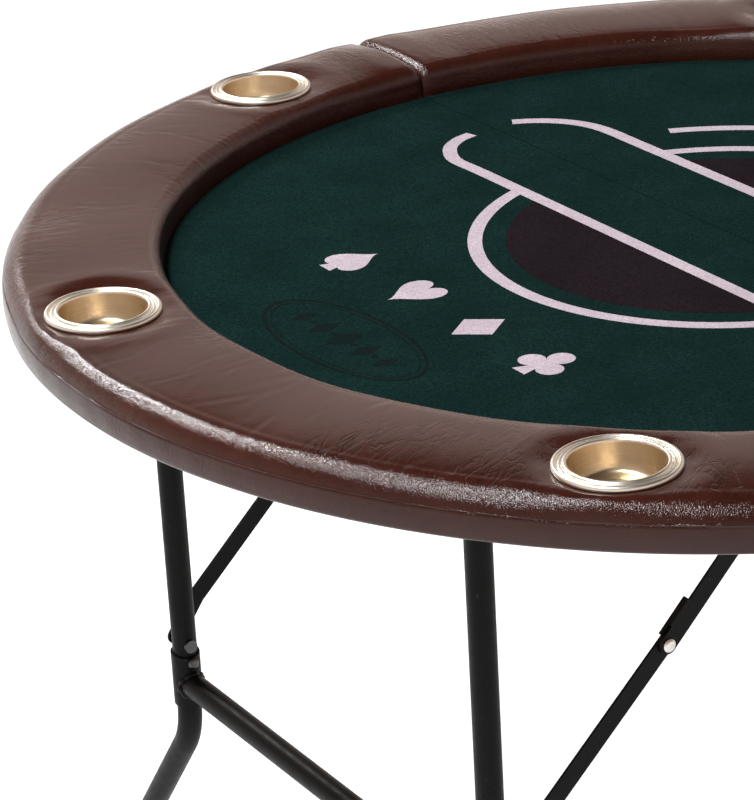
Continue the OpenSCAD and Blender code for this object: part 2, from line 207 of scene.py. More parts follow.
def felt_material(name, c1, c2, sheen=0.35, tint=(0.5, 0.7, 0.68)):
    m = Mat(name)
    big = m.noise(14.0, 3.0, 0.6)
    fine = m.noise(560.0, 3.0, 0.8)
    fibre = m.noise(2600.0, 2.0, 0.7)
    base = m.mix(m.remap(fine, 0.32, 0.68, 0.0, 1.0), c1, c2)
    base = m.mix(m.remap(big, 0.35, 0.7, 0.0, 0.4), base, c1)
    n1 = m.bump(fine, 0.55, 0.0006)
    n2 = m.bump(fibre, 0.5, 0.0003, n1)
    m.set(Base_Color=base, Roughness=0.95, Normal=n2)
    m.b.inputs["Specular IOR Level"].default_value = 0.0
    m.b.inputs["Sheen Weight"].default_value = sheen * 0.03
    m.b.inputs["Sheen Roughness"].default_value = 0.5
    m.b.inputs["Sheen Tint"].default_value = (*tint, 1)
    return m.m


def turned_metal(name, c1, c2, rough, depth, spec=0.5):
    m = Mat(name)
    sep = m.n("SeparateXYZ", Vector=m.co.outputs["Object"])
    x, y, z = sep.outputs
    r = m.math("SQRT", m.math("ADD", m.math("MULTIPLY", x, x), m.math("MULTIPLY", y, y)))
    comb = m.n("CombineXYZ", X=m.math("MULTIPLY", r, 1800.0), Y=m.math("MULTIPLY", z, 1300.0),
               Z=m.math("MULTIPLY", m.math("ADD", x, y), 26.0)).outputs[0]
    ring = m.noise(1.0, 2.0, 0.6, comb)
    cloud = m.noise(60.0, 3.0, 0.6)
    base = m.mix(m.remap(ring, 0.3, 0.7, 0.0, 1.0), c1, c2)
    base = m.mix(m.remap(cloud, 0.4, 0.75, 0.0, 0.25), base, c1)
    m.set(Base_Color=base, Metallic=1.0, Roughness=m.remap(cloud, 0.3, 0.7, rough * 0.94, rough * 1.08),
          Normal=m.bump(ring, 0.35, depth))
    return m.m


def coat_material(name="black_powder_coat", c=0.0032, rough=0.44):
    m = Mat(name)
    n1 = m.bump(m.noise(520.0, 2.0, 0.5), 0.30, 0.00025)
    n2 = m.bump(m.noise(1900.0, 2.0, 0.6), 0.35, 0.00012, n1)
    cl = m.noise(30.0, 3.0, 0.6)
    base = m.mix(m.remap(cl, 0.35, 0.7, 0.0, 1.0), (c, c, c * 0.98), (c * 1.45, c * 1.42, c * 1.40))
    speck = m.remap(m.noise(420.0, 1.0, 0.5), 0.72, 0.78, 0.0, 0.5)
    base = m.mix(speck, base, (0.05, 0.05, 0.048))
    m.set(Base_Color=base, Roughness=m.remap(m.noise(90.0, 3.0, 0.6), 0.3, 0.7, rough * 0.85, rough * 1.15), Normal=n2)
    m.b.inputs["Specular IOR Level"].default_value = 0.10
    return m.m


def board_material():
    m = Mat("pressed_board")
    chips = m.noise(260.0, 4.0, 0.7)
    strands = m.n("TexNoise", Scale=1.0, Detail=4.0, Roughness=0.7,
                  Vector=m.n("Mapping", Vector=m.co.outputs["Object"], Scale=(160.0, 700.0, 700.0)).outputs[0]).outputs["Fac"]
    base = m.mix(m.remap(chips, 0.35, 0.7, 0.0, 1.0), (0.26, 0.155, 0.085), (0.40, 0.265, 0.155))
    base = m.mix(m.remap(strands, 0.55, 0.75, 0.0, 0.45), base, (0.16, 0.095, 0.05))
    m.set(Base_Color=base, Roughness=0.72, Normal=m.bump(m.math("ADD", chips, strands), 0.3, 0.0004))
    m.b.inputs["Specular IOR Level"].default_value = 0.25
    return m.m


def zinc_material(name="zinc_plated_steel", c=(0.62, 0.61, 0.58), rough=0.28):
    m = Mat(name)
    f = m.noise(700.0, 3.0, 0.6)
    cl = m.noise(110.0, 3.0, 0.6)
    base = m.mix(m.remap(cl, 0.35, 0.7, 0.0, 1.0), c, tuple(v * 0.78 for v in c))
    m.set(Base_Color=base, Metallic=1.0, Roughness=m.remap(f, 0.3, 0.7, rough * 0.8, rough * 1.3),
          Normal=m.bump(f, 0.2, 0.00008))
    return m.m


def rubber_material():
    m = Mat("foot_cap_plastic")
    f = m.noise(600.0, 3.0, 0.6)
    base = m.mix(m.remap(m.noise(45.0, 3.0, 0.6), 0.4, 0.7, 0.0, 1.0), (0.009, 0.009, 0.009), (0.020, 0.019, 0.018))
    m.set(Base_Color=base, Roughness=0.55, Normal=m.bump(f, 0.35, 0.0002))
    return m.m


VINYL = vinyl_material()
FELT = felt_material("felt_green", (0.0014, 0.0066, 0.0061), (0.0086, 0.0260, 0.0240))
INK_WHITE = felt_material("felt_print_pale", (0.30, 0.245, 0.285), (0.53, 0.465, 0.515), 0.12, (0.9, 0.85, 0.9))
INK_BLACK = felt_material("felt_print_black", (0.0062, 0.0040, 0.0055), (0.0180, 0.0128, 0.0160), 0.25, (0.7, 0.6, 0.65))
INK_DIM = felt_material("felt_print_dim", (0.0040, 0.0075, 0.0080), (0.0080, 0.0125, 0.0130), 0.25, (0.5, 0.6, 0.6))
CUP_GOLD = turned_metal("cup_inside_champagne", (0.60, 0.475, 0.315), (0.70, 0.575, 0.40), 0.34, 0.00003)
CUP_RIM = turned_metal("cup_flange_pale", (0.80, 0.75, 0.64), (0.90, 0.86, 0.76), 0.36, 0.00002)
BLACK = coat_material()
WOOD = board_material()
ZINC = zinc_material()
RIVET = zinc_material("bright_rivet", (0.78, 0.76, 0.72), 0.30)
DARK_SCREW = zinc_material("dark_plated_screw", (0.10, 0.10, 0.10), 0.30)
FOOT = rubber_material()
WELD = coat_material("weld_bead_coat", 0.0075, 0.33)


def paint(obj, *mats):
    obj.data.materials.clear()
    for mt in mats:
        obj.data.materials.append(mt)


# ------------------------------------------------------------------ mesh helpers
def make(name, verts, faces, mats, smooth=True, body="tabletop", mat_index=None):
    me = bpy.data.meshes.new(name)
    me.from_pydata([tuple(map(float, v)) for v in verts], [], [tuple(map(int, f)) for f in faces])
    me.update()
    ob = bpy.data.objects.new(name, me)
    bpy.context.scene.collection.objects.link(ob)
    for mt in (mats if isinstance(mats, (list, tuple)) else [mats]):
        me.materials.append(mt)
    if smooth:
        me.polygons.foreach_set("use_smooth", [True] * len(me.polygons))
    if mat_index is not None:
        me.polygons.foreach_set("material_index", mat_index)
    if body:
        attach(ob, body)
    return ob


def fix_normals(ob):
    bm = bmesh.new()
    bm.from_mesh(ob.data)
    bmesh.ops.recalc_face_normals(bm, faces=bm.faces)
    bm.to_mesh(ob.data)
    bm.free()


def sharp_edges(ob, angle=35):
    bm = bmesh.new()
    bm.from_mesh(ob.data)
    lim = math.radians(angle)
    for e in bm.edges:
        e.smooth = not (len(e.link_faces) == 2 and e.calc_face_angle(0.0) > lim)
    bm.to_mesh(ob.data)
    bm.free()


def lathe(profile, n=96, close=True):
    """Closed profile of (r, z) points turned about Z; points with r == 0 become one vertex."""
    verts, rings = [], []
    for r, z in profile:
        if r < 1e-7:
            rings.append([len(verts)])
            verts.append((0, 0, z))
        else:
            rings.append(list(range(len(verts), len(verts) + n)))
            verts += [(r * math.cos(2 * math.pi * k / n), r * math.sin(2 * math.pi * k / n), z) for k in range(n)]
    faces, tag = [], []
    m = len(rings)
    for i in range(m if close else m - 1):
        a, b = rings[i], rings[(i + 1) % m]
        if len(a) == 1 and len(b) == 1:
            continue
        for k in range(n):
            k2 = (k + 1) % n
            if len(a) == 1:
                faces.append((a[0], b[k2], b[k]))
            elif len(b) == 1:
                faces.append((a[k], a[k2], b[0]))
            else:
                faces.append((a[k], a[k2], b[k2], b[k]))
            tag.append(i)
    return verts, faces, tag


# ------------------------------------------------------------------ armrest
def rail_profile():
    """Outer skin of the armrest's cross-section, (r, z above the board's underside), from the felt over the top to the underside, with how much each point may swell and how much the rounded end pulls it in."""
    p = []
    wall_top = THICK - INNER
    z0 = ZF - ZB - 0.0006
    for u in np.linspace(0, 1, 7)[:-1]:
        z = z0 + (wall_top - z0) * u
        p.append((RI - 0.0007 * math.sin(math.pi * (0.15 + 0.85 * u)), z, 0.25, 0.30 + 0.2 * u))
    for t in np.linspace(0, 90, 11)[:-1]:
        a = math.radians(t)
        p.append((RI + INNER - INNER * math.cos(a), wall_top + INNER * math.sin(a), 0.5 + 0.5 * t / 90, 0.5 + 0.5 * t / 90))
    r0, r1 = RI + INNER, R - SHOULDER
    for u in np.linspace(0, 1, 39)[:-1]:
        p.append((r0 + (r1 - r0) * u, THICK + 0.0030 * math.sin(math.pi * u) ** 0.8, 1.0, 1.0))
    crease = 0.0205
    e = THICK - SIDE_H
    t1 = math.asin((crease - SIDE_H) / e)
    for t in np.linspace(math.pi / 2, t1, 19)[:-1]:
        p.append((R - SHOULDER + SHOULDER * math.cos(t), SIDE_H + e * math.sin(t), 0.9, 0.9))
    rc = R - SHOULDER + SHOULDER * math.cos(t1)
    p.append((rc - 0.0001, crease + 0.0012, 0.4, 0.7))
    p.append((rc - 0.0006, crease, 0.2, 0.6))
    p.append((rc + 0.0001, crease - 0.0010, 0.4, 0.55))
    for u in np.linspace(0, 1, 9):
        z = crease - 0.0022 + (0.0026 - crease + 0.0022) * u
        p.append((R + 0.0006 * math.sin(math.pi * u) + (rc - R) * (1 - u) * 0.6, z, 0.5, 0.5 * (1 - u) + 0.1))
    for t in (25, 50, 75):
        a = math.radians(t)
        p.append((R - 0.0026 + 0.0026 * math.cos(a), 0.0026 - 0.0032 * math.sin(a), 0.2, 0.05))
    for r in (R - 0.004, R - 0.008, R - 0.013, R - 0.018, R - 0.0226):
        p.append((r, -0.0007, 0.1, 0.0))
    return p


def build_rail(side, name):
    rng = np.random.default_rng(11 if side < 0 else 29)
    prof = np.array(rail_profile())
    pr, pz, sw, pull = prof.T
    npf = len(prof)
    # unit normals of the profile, pointing out of the padding
    tr, tz = np.gradient(pr), np.gradient(pz)
    ln = np.hypot(tr, tz)
    nr, nz = -tz / ln, tr / ln
    # rows along the armrest
    rm = (R + RI) / 2
    total = math.pi * rm - 2 * GAP
    step = 0.0021
    near = [0.0, 0.0002, 0.0006, 0.0012, 0.002, 0.003, 0.0042, 0.0056, 0.0072, 0.009, 0.011]
    mid = np.linspace(0.0131, total - 0.0131, int((total - 0.0262) / step))
    d = np.concatenate([near, mid, total - np.array(near[::-1])])
    nrow = len(d)
    dd = np.minimum(d, total - d)                     # distance to the nearer seam
    D, PR = np.meshgrid(dd, pr, indexing="ij")
    w = np.clip(D / 0.070, 0, 1)
    w = w * w * (3 - 2 * w)
    phi = (1 - w) * np.arcsin(np.minimum(1, (GAP + D) / PR)) + w * (GAP + D) / rm
    flip = (d > total / 2)[:, None]
    PHI = np.where(flip, math.pi - phi, phi)          # 0 at the rear seam, pi at the front seam
    PZ = np.broadcast_to(pz, PR.shape).copy()
    RR = PR.copy()
    # where each point is before it is shaped, for the left half
    X = -RR * np.sin(PHI)
    Y = RR * np.cos(PHI)
    disp = np.zeros_like(RR)
    S = np.broadcast_to(sw, PR.shape)
    # broad swells
    for k in range(26):
        f = rng.uniform(5, 26)
        g = rng.uniform(-30, 30)
        disp += S * 0.00022 * np.sin(f * PHI + g * (PR - rm) + rng.uniform(0, 6.28)) / (0.5 + f / 14)
    # a fuller end beside each seam
    disp += S * 0.0013 * np.exp(-((D - 0.030) / 0.020) ** 2)
    # creases across the armrest
    top = (pr > RI + 0.004) & (pz > 0.018)
    arc = PHI * rm
    srf = np.concatenate([[0], np.cumsum(np.hypot(np.diff(pr), np.diff(pz)))])
    SR = np.broadcast_to(srf, PR.shape)
    s_lo, s_hi = srf[10], srf[-14]
    for k in range(250):
        ca = rng.uniform(0.012, math.pi * rm - 0.012)
        cs = rng.uniform(s_lo, s_hi)
        al = rng.normal(0, 0.33)
        L = rng.uniform(0.008, 0.030)
        wd = rng.uniform(0.0022, 0.0042)
        dep = rng.uniform(0.00004, 0.00017)
        bend = rng.uniform(-9, 9)
        rows = np.where(np.abs(arc[:, 0] - ca) < 0.06)[0]
        if not len(rows):
            continue
        r0, r1 = rows[0], rows[-1] + 1
        da = arc[r0:r1] - ca
        ds = SR[r0:r1] - cs
        u = ds * math.cos(al) + da * math.sin(al)
        v = -ds * math.sin(al) + da * math.cos(al) + bend * u * u
        g = np.exp(-(u / L) ** 2)
        disp[r0:r1] += S[r0:r1] * dep * g * (-np.exp(-(v / wd) ** 2) + 0.55 * np.exp(-((v - 1.7 * wd) / wd) ** 2))
    # small ridges on the inner shoulder, where the vinyl is gathered round the curve
    inn = np.exp(-((SR - srf[11]) / 0.010) ** 2)
    gath = np.zeros_like(RR)
    for k in range(5):
        f = rng.uniform(190, 420)
        gath += np.sin(f * PHI + rng.uniform(0, 6.28)) * (0.5 + 0.5 * np.sin(rng.uniform(5, 17) * PHI + rng.uniform(0, 6.28)))
    disp += inn * 0.00004 * gath
    # soft gathers down the outer side
    sidew = np.exp(-((PZ - 0.012) / 0.008) ** 2) * (PR > R - 0.006)
    disp += sidew * 0.00012 * np.sin(95 * PHI + 3 * np.sin(7 * PHI))
    RR = RR + disp * nr
    PZ = PZ + disp * nz
    # dips round the cup holders, and pulled vinyl beside them
    cups = [CUPS[i] for i in ((1, 2, 3) if side < 0 else (4, 5, 6))]
    for c in cups:
        cx, cy = (c.x, c.y) if side < 0 else (-c.x, -c.y)
        rc = np.hypot(X - cx, Y - cy)
        az = np.arctan2(Y - cy, X - cx)
        out = np.maximum(rc - 0.0455, 0)
        k = np.exp(-(out / 0.0135) ** 1.7) * np.clip((PZ - 0.020) / 0.010, 0, 1)
        target = THICK - 0.0015
        PZ = PZ * (1 - k) + target * k
        PZ += np.clip((PZ - 0.026) / 0.01, 0, 1) * 0.00022 * np.sin(11 * az + cx * 40) * np.exp(-((rc - 0.0535) / 0.006) ** 2)
        PZ += np.clip((PZ - 0.026) / 0.01, 0, 1) * 0.0006 * np.exp(-((rc - 0.074) / 0.012) ** 2)
    # rounded ends at the seam
    re = 0.0115
    q = np.clip(re - D, 0, re)
    delta = (re - np.sqrt(np.maximum(re * re - q * q, 0))) * np.broadcast_to(pull, PR.shape)
    RR = RR - delta * nr * 0.9
    PZ = PZ - delta * nz
    # close the section with its hidden faces
    back = [(R - 0.0226, -0.00006), (RB + 0.00015, -0.00006), (RB + 0.00015, 0.01815), (RC - 0.0004, 0.01815),
            (RC - 0.0004, ZF - ZB - 0.0009), (RI, ZF - ZB - 0.0009)]
    xs, ys, zs = [], [], []
    for rr, zz, col in [(RR[:, j], PZ[:, j], j) for j in range(npf)] + [(np.full(nrow, b[0]), np.full(nrow, b[1]), None) for b in back]:
        if col is None:
            wv = np.clip(dd / 0.070, 0, 1)
            wv = wv * wv * (3 - 2 * wv)
            ph = (1 - wv) * np.arcsin(np.minimum(1, (GAP + dd) / rr)) + wv * (GAP + dd) / rm
            ph = np.where(d > total / 2, math.pi - ph, ph)
        else:
            ph = PHI[:, col]
            near_end = np.clip(1 - dd / 0.02, 0, 1)
            exact = np.arcsin(np.minimum(1, (GAP + dd) / rr))
            exact = np.where(d > total / 2, math.pi - exact, exact)
            ph = ph * (1 - near_end) + exact * near_end
        xs.append(-rr * np.sin(ph))
        ys.append(rr * np.cos(ph))
        zs.append(zz + ZB)
    P = np.stack([np.array(xs).T, np.array(ys).T, np.array(zs).T], -1)
    if side > 0:
        P[..., :2] *= -1
    npt = P.shape[1]
    verts = P.reshape(-1, 3)
    idx = np.arange(nrow * npt).reshape(nrow, npt)
    a = idx[:-1, :]
    b = idx[1:, :]
    a2 = np.roll(a, -1, axis=1)
    b2 = np.roll(b, -1, axis=1)
    faces = np.stack([a, a2, b2, b], -1).reshape(-1, 4).tolist()
    faces.append(list(idx[0, ::-1]))
    faces.append(list(idx[-1, :]))
    ob = make(name, verts, faces, [VINYL], body=None)
    fix_normals(ob)
    # holes for the cup holders
    cutters = []
    for c in cups:
        cv, cf, _ = lathe([(0, -0.06), (0.0392, -0.06), (0.0392, 0.06), (0, 0.06)], 96)
        co = make("cutter", [(x + c.x, y + c.y, z + ZB + 0.02) for x, y, z in cv], cf, [VINYL], body=None)
        fix_normals(co)
        cutters.append(co)
    for co in cutters:
        md = ob.modifiers.new("hole", "BOOLEAN")
        md.operation = "DIFFERENCE"
        md.solver = "EXACT"
        md.object = co
        bpy.context.view_layer.objects.active = ob
        bpy.context.view_layer.update()
        dg = bpy.context.evaluated_depsgraph_get()
        me = bpy.data.meshes.new_from_object(ob.evaluated_get(dg))
        ob.modifiers.clear()
        old = ob.data
        ob.data = me
        bpy.data.meshes.remove(old)
    for co in cutters:
        bpy.data.objects.remove(co)
    ob.data.polygons.foreach_set("use_smooth", [True] * len(ob.data.polygons))
    sharp_edges(ob, 50)
    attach(ob, "tabletop")
    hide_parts("rail_pad_left" if side < 0 else "rail_pad_right")
    return ob


rail_left = build_rail(-1, "armrest_vinyl_left")
rail_right = build_rail(1, "armrest_vinyl_right")


# ------------------------------------------------------------------ cup holders
def build_cup(i):
    c = CUPS[i]
    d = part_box("cup_holder_%d" % i)
    depth = (ZT - d[0].z) / MM
    F = 1.35 - depth                              # the floor inside
    pts = [(0, -depth), (28.6, -depth), (29.7, -depth + 0.5), (30.4, -depth + 1.6), (31.0, -depth + 4),
           (36.6, -2.4), (37.3, -1.4), (38.6, -0.9), (44.6, -1.0), (46.0, -1.3), (46.9, -1.2), (47.2, -0.5), (47.2, 0.5),
           (46.95, 1.5), (46.45, 2.3), (45.7, 2.85), (44.9, 3.0), (44.1, 2.8), (43.5, 2.3), (43.15, 1.7),
           (42.9, 0.95), (42.5, 0.95), (42.15, 1.5), (41.2, 1.75), (40.2, 1.8), (39.85, 1.25), (39.5, 1.35),
           (39.1, 2.45), (38.5, 3.05), (37.7, 3.38), (36.9, 3.35), (36.25, 2.95), (35.85, 2.2), (35.65, 1.2), (35.3, -1.5),
           (34.3, -6.0), (33.2, -10.5), (32.2, -14.0), (31.3, F + 4.1), (30.5, F + 2.4), (29.4, F + 1.05), (28.0, F + 0.35), (26.4, F + 0.05),
           (22.0, F), (21.0, F + 0.2), (20.3, F + 0.65), (19.6, F + 0.8), (17.6, F + 0.8), (16.9, F + 0.65), (16.2, F + 0.25), (15.4, F),
           (8.0, F - 0.05), (7.2, F - 0.2), (6.6, F - 0.6), (5.8, F - 0.75), (0, F - 0.75)]
    verts, faces, tag = lathe([(r * MM, z * MM) for r, z in pts], 128)
    first_gold = 33
    mi = [1 if t >= first_gold else 0 for t in tag]
    ob = make("cup_%d_turned" % i, verts, faces, [CUP_RIM, CUP_GOLD], body=None, mat_index=mi)
    fix_normals(ob)
    ob.location = (c.x, c.y, ZT)
    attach(ob, "cup_holder_%d" % i)
    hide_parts("cup_holder_%d" % i)
    return ob


for i in CUPS:
    build_cup(i)


# ------------------------------------------------------------------ printed felt
PRINT_Z0, PRINT_Z1 = ZF - 0.00005, ZF + 0.00016


def plate(name, outline, mat, z1=PRINT_Z1, holes=()):
    """Thin closed plate from a closed outline (list of (x, y)), turned into a print on the felt."""
    loops = [[Vector((x, y, 0)) for x, y in outline]] + [[Vector((x, y, 0)) for x, y in h] for h in holes]
    tris = tessellate_polygon(loops)
    flat = [p for lp in loops for p in lp]
    n = len(flat)
    verts = [(p.x, p.y, z1) for p in flat] + [(p.x, p.y, PRINT_Z0) for p in flat]
    faces = [tuple(t) for t in tris] + [tuple(k + n for k in reversed(t)) for t in tris]
    s = 0
    for lp in loops:
        m = len(lp)
        for k in range(m):
            a, b = s + k, s + (k + 1) % m
            faces.append((a, b, b + n, a + n))
        s += m
    return verts, faces


def strip_plate(inner, outer, z1=PRINT_Z1):
    """Thin closed plate between two polylines of the same length."""
    m = len(inner)
    top = [(x, y, z1) for x, y in inner] + [(x, y, z1) for x, y in outer]
    bot = [(x, y, PRINT_Z0) for x, y in inner] + [(x, y, PRINT_Z0) for x, y in outer]
    verts = top + bot
    faces = []
    for k in range(m - 1):
        faces.append((k, k + 1, m + k + 1, m + k))
        faces.append((2 * m + k, 3 * m + k, 3 * m + k + 1, 2 * m + k + 1))
        faces.append((k, 2 * m + k, 2 * m + k + 1, k + 1))
        faces.append((m + k, m + k + 1, 3 * m + k + 1, 3 * m + k))
    faces.append((0, m, 3 * m, 2 * m))
    faces.append((m - 1, 3 * m - 1, 4 * m - 1, 2 * m - 1))
    return verts, faces


def join(parts):
    verts, faces = [], []
    for v, f in parts:
        o = len(verts)
        verts += v
        faces += [tuple(k + o for k in q) for q in f]
    return verts, faces


def turned(part):
    v, f = part
    return [(-x, -y, z) for x, y, z in v], f


BAND_X, BAND_W = 0.0762, 0.013        # the two bands along the seam
B_OUT = BAND_X + BAND_W / 2
RING_O, RING_I, DISC = 0.2185, 0.2060, 0.1860


def catmull(pts, per=10):
    out = []
    P = [pts[0]] + list(pts) + [pts[-1]]
    for i in range(1, len(P) - 2):
        p0, p1, p2, p3 = (np.array(P[j], float) for j in (i - 1, i, i + 1, i + 2))
        for k in range(per):
            t = k / per
            out.append(0.5 * ((2 * p1) + (-p0 + p2) * t + (2 * p0 - 5 * p1 + 4 * p2 - p3) * t * t + (-p0 + 3 * p1 - 3 * p2 + p3) * t ** 3))
    out.append(np.array(P[-2], float))
    return np.array(out)


def band(points, w=BAND_W):
    c = catmull(points)
    t = np.gradient(c, axis=0)
    t /= np.linalg.norm(t, axis=1)[:, None]
    nrm = np.stack([-t[:, 1], t[:, 0]], 1)
    return strip_plate([tuple(p) for p in c - nrm * w / 2], [tuple(p) for p in c + nrm * w / 2])


def arc_strip(r0, r1, a0, a1, n=90):
    """a0 and a1 are functions of the radius, or angles in radians."""
    f0 = a0 if callable(a0) else (lambda r: a0)
    f1 = a1 if callable(a1) else (lambda r: a1)
    inner = [(r0 * math.cos(f0(r0) + (f1(r0) - f0(r0)) * k / n), r0 * math.sin(f0(r0) + (f1(r0) - f0(r0)) * k / n)) for k in range(n + 1)]
    outer = [(r1 * math.cos(f0(r1) + (f1(r1) - f0(r1)) * k / n), r1 * math.sin(f0(r1) + (f1(r1) - f0(r1)) * k / n)) for k in range(n + 1)]
    return strip_plate(inner, outer)


def ray_far(polys, circles, n=220):
    """Outline of a star-shaped union of convex or star-shaped polygons and circles round the origin."""
    out = []
    for k in range(n):
        a = 2 * math.pi * k / n
        dx, dy = math.cos(a), math.sin(a)
        best = 0.0005
        for cx, cy, r in circles:
            b = dx * cx + dy * cy
            disc = b * b - (cx * cx + cy * cy - r * r)
            if disc >= 0:
                best = max(best, b + math.sqrt(disc))
        for pl in polys:
            m = len(pl)
            for i in range(m):
                x1, y1 = pl[i]
                x2, y2 = pl[(i + 1) % m]
                ex, ey = x2 - x1, y2 - y1
                den = dx * ey - dy * ex
                if abs(den) < 1e-12:
                    continue
                t = (x1 * ey - y1 * ex) / den
                u = (x1 * dy - y1 * dx) / den
                if t > 0 and -1e-9 <= u <= 1 + 1e-9:
                    best = max(best, t)
        out.append((best * dx, best * dy))
    return out


def heart_outline(lu, wv, n=90):
    """Heart with its lobes towards +X, lu long and wv wide, centred on the origin."""
    pts = []
    for k in range(n):
        t = 2 * math.pi * k / n
        v = 16 * math.sin(t) ** 3
        u = 13 * math.cos(t) - 5 * math.cos(2 * t) - 2 * math.cos(3 * t) - math.cos(4 * t)
        pts.append(((u + 2.55) * lu / 29.0, v * wv / 32.0))
    return pts


def suit(kind):
    if kind == "heart":
        return heart_outline(0.050, 0.044)
    if kind == "diamond":
        return [(-0.0255, 0), (0, -0.0205), (0.0255, 0), (0, 0.0205)]
    if kind == "spade":
        h = [(-x + 0.004, y) for x, y in heart_outline(0.045, 0.042)]
        stem = [(0.004, -0.0012), (-0.012, -0.0022), (-0.020, -0.0042), (-0.0262, -0.0088), (-0.0262, 0.0088), (-0.020, 0.0042), (-0.012, 0.0022), (0.004, 0.0012)]
        return ray_far([h, stem], [], 360)
    stem = [(0.004, -0.0022), (-0.010, -0.0026), (-0.019, -0.0042), (-0.0262, -0.0088), (-0.0262, 0.0088), (-0.019, 0.0042), (-0.010, 0.0026), (0.004, 0.0022)]
    return ray_far([stem], [(0.0142, 0, 0.0112), (-0.0050, 0.0122, 0.0112), (-0.0050, -0.0122, 0.0112), (0.001, 0, 0.006)], 360)


def print_half(s):
    """Pale, black and dim parts of the print on one half. The right half is the left turned half a turn, with one more arc."""
    pale = []
    left_band = [(-0.0255, 0.3537), (-0.0425, 0.3490), (-0.0602, 0.3361), (-0.0720, 0.3171), (-0.0769, 0.2992), (-BAND_X - 0.0003, 0.2720),
                 (-BAND_X, 0.240), (-BAND_X, 0.12), (-BAND_X, 0.0), (-BAND_X, -0.12), (-BAND_X, -0.240),
                 (-0.0765, -0.2680), (-0.0742, -0.2960), (-0.0660, -0.3190), (-0.0530, -0.3370), (-0.0380, -0.3500), (-0.0230, -0.3590)]
    pale.append(band(left_band))
    # the ring outside the band
    a0 = lambda r: math.acos(-B_OUT / r)
    a1 = lambda r: 2 * math.pi - math.acos(-B_OUT / r)
    pale.append(arc_strip(RING_I, RING_O, a0, a1, 140))
    black = []
    ad = math.acos(-B_OUT / DISC)
    black.append(plate("d", [(DISC * math.cos(ad + (2 * math.pi - 2 * ad) * k / 120), DISC * math.sin(ad + (2 * math.pi - 2 * ad) * k / 120)) for k in range(121)], None))
    dim = []
    if s < 0:
        places = ((-0.2835, 0.144, "spade"), (-0.2825, 0.048, "heart"), (-0.2820, -0.048, "diamond"), (-0.2820, -0.144, "club"))
    else:
        places = ((-0.3350, 0.144, "spade"), (-0.3350, 0.048, "heart"), (-0.3350, -0.048, "diamond"), (-0.3350, -0.144, "club"))
    for x, y, kind in places:
        v, f = plate("s", suit(kind), None)
        pale.append(([(px + x, py + y, pz) for px, py, pz in v], f))
    if s > 0:
        pale.append(arc_strip(0.2640, 0.2765, math.radians(180 - 64), math.radians(180 + 64), 120))
    else:
        # plain oval badge with lozenges in it
        cx, cy, ha, hb = -0.3790, -0.002, 0.045, 0.104
        def ell(a, b, n=96):
            return [(cx + a * math.cos(2 * math.pi * k / n), cy + b * math.sin(2 * math.pi * k / n)) for k in range(n + 1)]
        dim.append(strip_plate(ell(ha - 0.0032, hb - 0.0036), ell(ha, hb)))
        dim.append(strip_plate(ell(ha - 0.0072, hb - 0.0090), ell(ha - 0.0060, hb - 0.0076)))
        for k in range(-2, 3):
            yy = cy + k * 0.031
            hh = 0.0185 - 0.0032 * abs(k)
            dim.append(plate("l", [(cx - hh, yy), (cx, yy - hh * 0.62), (cx + hh, yy), (cx, yy + hh * 0.62)], None))
            if k < 2:
                dim.append(plate("c", [(cx + 0.0030 * math.cos(a), yy + 0.0155 + 0.0030 * math.sin(a)) for a in np.linspace(0, 2 * math.pi, 25)[:-1]], None))
    if s > 0:
        pale, black, dim = [turned(p) for p in pale], [turned(p) for p in black], [turned(p) for p in dim]
    return pale, black, dim


for s, nm in ((-1, "left"), (1, "right")):
    felt = N["felt_" + nm]
    paint(felt, FELT)
    pale, black, dim = print_half(s)
    for parts, mt, what in ((pale, INK_WHITE, "pale"), (black, INK_BLACK, "black"), (dim, INK_DIM, "badge")):
        if parts:
            v, f = join(parts)
            o = make("felt_print_%s_%s" % (what, nm), v, f, [mt], smooth=False, body=None)
            fix_normals(o)
            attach(o, "tabletop")

# ------------------------------------------------------------------ frame and underside: CAD pieces with their finishes
for nm in ("left", "right"):
    for n in ("hinge_tube", "upper_legs", "leg_sleeves", "lower_legs", "crossbar", "leg_saddles", "brace_brackets"):
        paint(N["%s_%s" % (n, nm)], BLACK)
    for q in ("front", "rear"):
        paint(N["upper_brace_%s_%s" % (nm, q)], BLACK)
        paint(N["lower_brace_%s_%s" % (nm, q)], BLACK)
        paint(N["knee_rivet_%s_%s" % (nm, q)], RIVET)
    for n in ("board", "rail_core", "battens"):
        paint(N["%s_%s" % (n, nm)], WOOD)
    paint(N["foot_caps_" + nm], FOOT)
    paint(N["leg_screws_" + nm], DARK_SCREW)
    paint(N["brace_pins_" + nm], DARK_SCREW)
    paint(N["seam_hinge_leaves_" + nm], ZINC)
for n in ("batten_screws", "seam_hinge_pins", "seam_hinge_screws", "saddle_screws", "bracket_screws"):
    paint(N[n], ZINC)


# weld beads where the crossbar meets the sleeves
def bead_ring(path, r, n=8, seed=1):
    """Lumpy closed bead along a closed path of (x, y, z) points."""
    rng = np.random.default_rng(seed)
    P = np.array(path)
    m = len(P)
    T = np.roll(P, -1, 0) - np.roll(P, 1, 0)
    T /= np.linalg.norm(T, axis=1)[:, None]
    c = P.mean(0)
    verts, faces = [], []
    for i in range(m):
        out = P[i] - c
        out -= T[i] * out.dot(T[i])
        out /= np.linalg.norm(out)
        b = np.cross(T[i], out)
        k = r * (1 + 0.28 * math.sin(i * 1.45) + 0.12 * rng.normal())
        for j in range(n):
            a = 2 * math.pi * j / n
            verts.append(tuple(P[i] + k * (out * math.cos(a) + b * math.sin(a))))
    for i in range(m):
        for j in range(n):
            faces.append((i * n + j, i * n + (j + 1) % n, ((i + 1) % m) * n + (j + 1) % n, ((i + 1) % m) * n + j))
    return verts, faces


